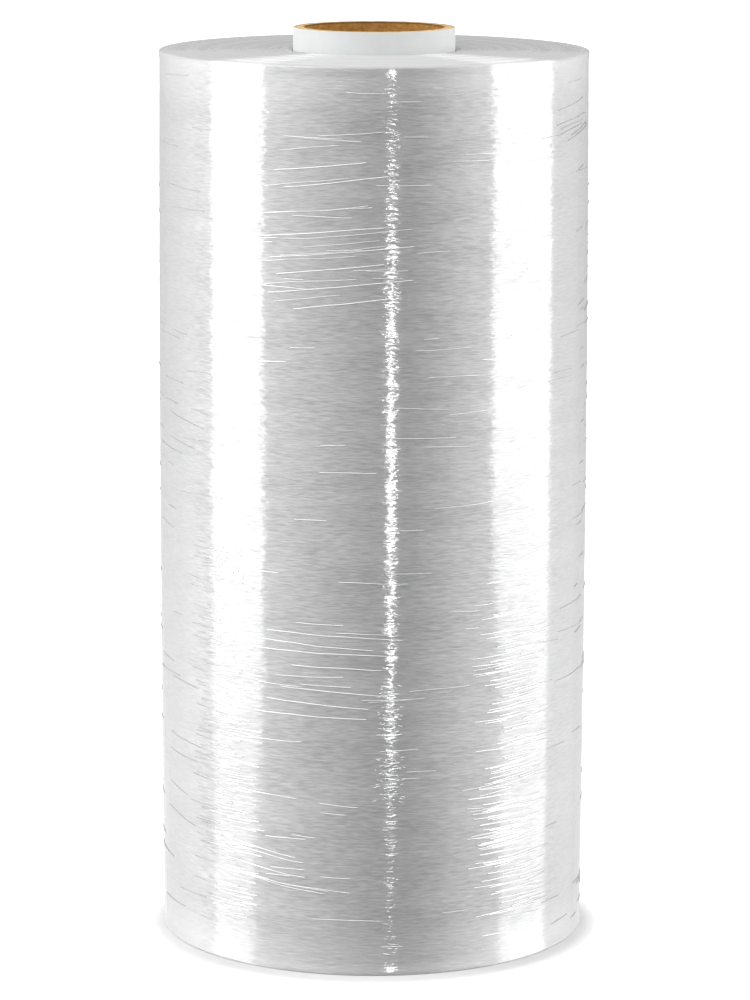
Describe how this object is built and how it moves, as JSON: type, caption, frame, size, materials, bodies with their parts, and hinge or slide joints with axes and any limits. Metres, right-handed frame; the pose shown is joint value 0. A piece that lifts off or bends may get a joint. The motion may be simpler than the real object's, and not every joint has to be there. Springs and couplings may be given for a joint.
{
  "type": "stretch wrap roll",
  "caption": "Machine roll of clear stretch film wound on a paperboard core with a white outer ply, standing on its end.",
  "frame": {"origin": "middle of the end that the roll stands on", "axes": "+Z along the core's axis, up towards the end where the core stands out of the film"},
  "size_m": [0.2421, 0.2422, 0.5127],
  "materials": {
    "clear_film": "wound clear film, glossy with fine creases round the roll",
    "kraft_board": "matt kraft paperboard, saw cut at the ends",
    "white_paper": "smooth matt white paper"
  },
  "bodies": {
    "root": {"film_roll": "clear_film", "core_tube": "kraft_board", "core_white_ply": "white_paper"}
  },
  "joints": []
}
